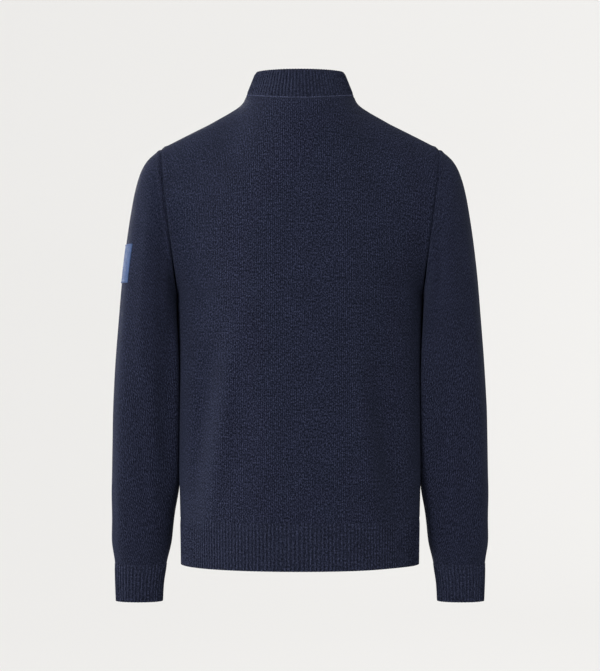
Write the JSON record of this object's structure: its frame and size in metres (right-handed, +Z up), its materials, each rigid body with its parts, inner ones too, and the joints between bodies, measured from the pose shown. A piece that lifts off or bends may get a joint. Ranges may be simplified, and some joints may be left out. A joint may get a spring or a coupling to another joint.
{
  "type": "turtleneck sweater",
  "caption": "Fine-knit sweater with a short standing rib collar, long set-in sleeves and rib hem and cuffs, hollow and filled out as if worn.",
  "frame": {"origin": "middle of the neck base, level with the inner ends of the shoulder seams, where the wearer's shoulders hold the garment up", "axes": "+Z up, -Y towards the front of the garment, +X towards the wearer's left"},
  "size_m": [0.552, 0.2473, 0.7749],
  "materials": {
    "jersey": "fine plain knit, navy melange, soft and matte",
    "rib": "rib knit, navy melange, soft and matte",
    "patch": "plain woven patch, mid blue"
  },
  "bodies": {
    "root": {"back_panel": "jersey", "front_panel": "jersey", "sleeve_left": "jersey", "sleeve_right": "jersey", "collar": "rib", "hem_back": "rib", "hem_front": "rib", "cuff_left": "rib", "cuff_right": "rib", "sleeve_patch": "patch"}
  },
  "joints": []
}
